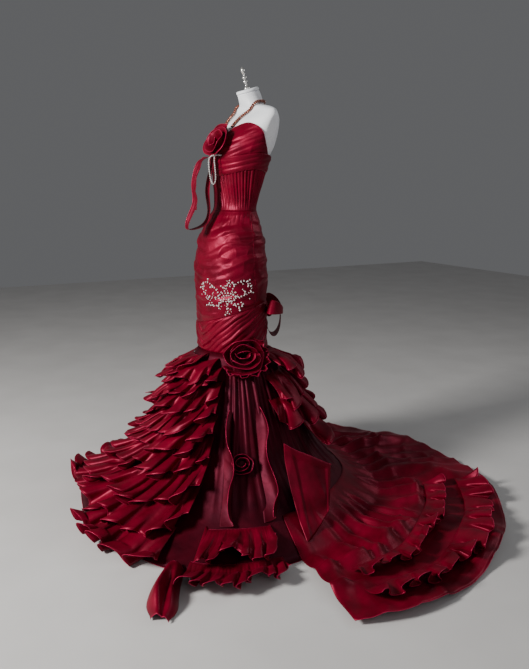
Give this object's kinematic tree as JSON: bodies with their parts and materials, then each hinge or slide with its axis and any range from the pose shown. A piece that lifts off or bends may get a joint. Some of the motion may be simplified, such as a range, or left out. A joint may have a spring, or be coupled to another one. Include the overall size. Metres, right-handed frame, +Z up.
{
  "type": "mermaid evening dress on a dress form",
  "caption": "Deep red satin mermaid evening gown with ruffled trumpet skirt, halter strap, rosettes and swept train, on a white limbless dress form and stand.",
  "frame": {"origin": "middle of the stand base's flat underside, on the floor", "axes": "+Z up, -Y the way the wearer faces, +X the wearer's left"},
  "size_m": [1.8375, 1.7562, 1.7606],
  "materials": {
    "satin": "deep red satin",
    "dark_satin": "deep red satin",
    "form_white": "smooth, low sheen",
    "stand_metal": "satin",
    "finial_metal": "turned and polished",
    "crystal": "faceted",
    "strap_beads": "glossy"
  },
  "bodies": {
    "root": {"bodice_front": "satin", "bodice_back": "satin", "underbust_band_front": "satin", "underbust_band_back": "satin", "midriff_front": "satin", "midriff_back": "satin", "hip_wrap_front": "satin", "hip_wrap_back": "satin", "thigh_wrap_front": "satin", "thigh_wrap_back": "satin", "train": "satin", "train_ruffle_1": "satin", "train_ruffle_2": "satin", "ruffle_front_1": "satin", "ruffle_front_2": "satin", "ruffle_front_3": "satin", "ruffle_front_4": "satin", "ruffle_front_5": "satin", "ruffle_front_6": "satin", "ruffle_front_7": "satin", "ruffle_front_8": "satin", "ruffle_front_9": "satin", "ruffle_front_10": "satin", "ruffle_left_1": "satin", "ruffle_left_2": "satin", "ruffle_left_3": "satin", "ruffle_left_4": "satin", "ruffle_right_1": "satin", "ruffle_right_2": "satin", "ruffle_right_3": "satin", "ruffle_right_4": "satin", "ruffle_floor_1": "satin", "ruffle_floor_2": "satin", "cascade_front": "satin", "cascade_back": "satin", "hip_rosette": "satin", "hip_ruffle_strip": "satin", "bust_rosette": "satin", "bust_ribbon_loop": "satin", "bust_ribbon_tail": "satin", "bow_loop_upper_left": "satin", "bow_loop_upper_right": "satin", "bow_loop_lower": "satin", "bow_knot": "satin", "sash_end": "satin", "hem_fold": "satin", "skirt_front": "dark_satin", "skirt_back": "dark_satin", "cascade_rosette": "dark_satin", "form_torso": "form_white", "form_neck_cap": "form_white", "form_finial": "finial_metal", "stand_pole": "stand_metal", "stand_base": "stand_metal", "crystal_strand": "crystal", "halter_strap": "strap_beads"}
  },
  "joints": []
}
